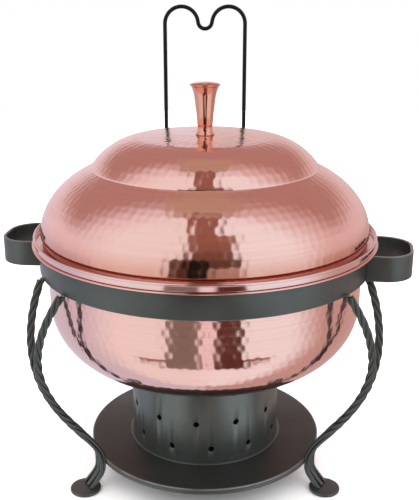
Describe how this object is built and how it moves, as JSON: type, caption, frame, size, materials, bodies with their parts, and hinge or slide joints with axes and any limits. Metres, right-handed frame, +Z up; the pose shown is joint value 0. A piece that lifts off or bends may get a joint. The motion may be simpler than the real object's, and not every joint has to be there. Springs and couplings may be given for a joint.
{
  "type": "soup kettle",
  "caption": "Round hammered copper soup kettle with a food pan and a two-tier domed lid, on a wrought-iron stand with twisted legs, a lid holder and a perforated burner housing.",
  "frame": {"origin": "on the floor, at the middle of the bounding box seen from above, which is about 8 mm behind the kettle's axis", "axes": "+Z up, -Y towards the front, +X to the right seen from the front"},
  "size_m": [0.41, 0.3608, 0.4739],
  "materials": {
    "copper_hammered": "hammered and polished copper",
    "copper_polished": "mirror polished copper",
    "stainless": "mirror polished stainless steel",
    "wrought_iron": "dark grey satin powder coat",
    "black_wire": "black satin enamel",
    "screw_steel": "zinc plated",
    "can_tin": "bare tinplate",
    "fuel_gel": "tinted alcohol gel"
  },
  "bodies": {
    "stand": {"band_ring": "wrought_iron", "handle_left": "wrought_iron", "handle_right": "wrought_iron", "leg_left_rope_front": "wrought_iron", "leg_left_rope_back": "wrought_iron", "leg_right_rope_front": "wrought_iron", "leg_right_rope_back": "wrought_iron", "leg_rear_rope_left": "wrought_iron", "leg_rear_rope_right": "wrought_iron", "foot_left": "wrought_iron", "foot_right": "wrought_iron", "foot_rear": "wrought_iron", "base_plate": "wrought_iron", "base_ring": "wrought_iron", "burner_housing": "wrought_iron", "housing_seat_ring": "wrought_iron", "holder_socket_left": "wrought_iron", "holder_socket_right": "wrought_iron"},
    "kettle": {"kettle_body": "copper_hammered"},
    "pan": {"food_pan": "stainless", "pan_rim": "copper_polished"},
    "lid": {"lid_shell": "copper_hammered", "knob": "copper_polished", "knob_collar": "copper_polished", "knob_screw": "screw_steel", "knob_washer": "screw_steel"},
    "holder": {"holder_wire": "black_wire"},
    "can": {"fuel_can": "can_tin", "fuel_gel": "fuel_gel"},
    "can_lid": {"fuel_can_lid": "can_tin"}
  },
  "joints": [
    {"name": "kettle_lift", "type": "slide", "parent": "stand", "child": "kettle", "axis": [0, 0, 1], "range_m": [0, 0.14]},
    {"name": "pan_lift", "type": "slide", "parent": "kettle", "child": "pan", "axis": [0, 0, 1], "range_m": [0, 0.11]},
    {"name": "lid_lift", "type": "slide", "parent": "pan", "child": "lid", "axis": [0, 0, 1], "range_m": [0, 0.15]},
    {"name": "holder_lift", "type": "slide", "parent": "stand", "child": "holder", "axis": [0, 0, 1], "range_m": [0, 0.03]},
    {"name": "can_lift", "type": "slide", "parent": "stand", "child": "can", "axis": [0, 0, 1], "range_m": [0, 0.018]},
    {"name": "can_lid_lift", "type": "slide", "parent": "can", "child": "can_lid", "axis": [0, 0, 1], "range_m": [0, 0.008]}
  ]
}
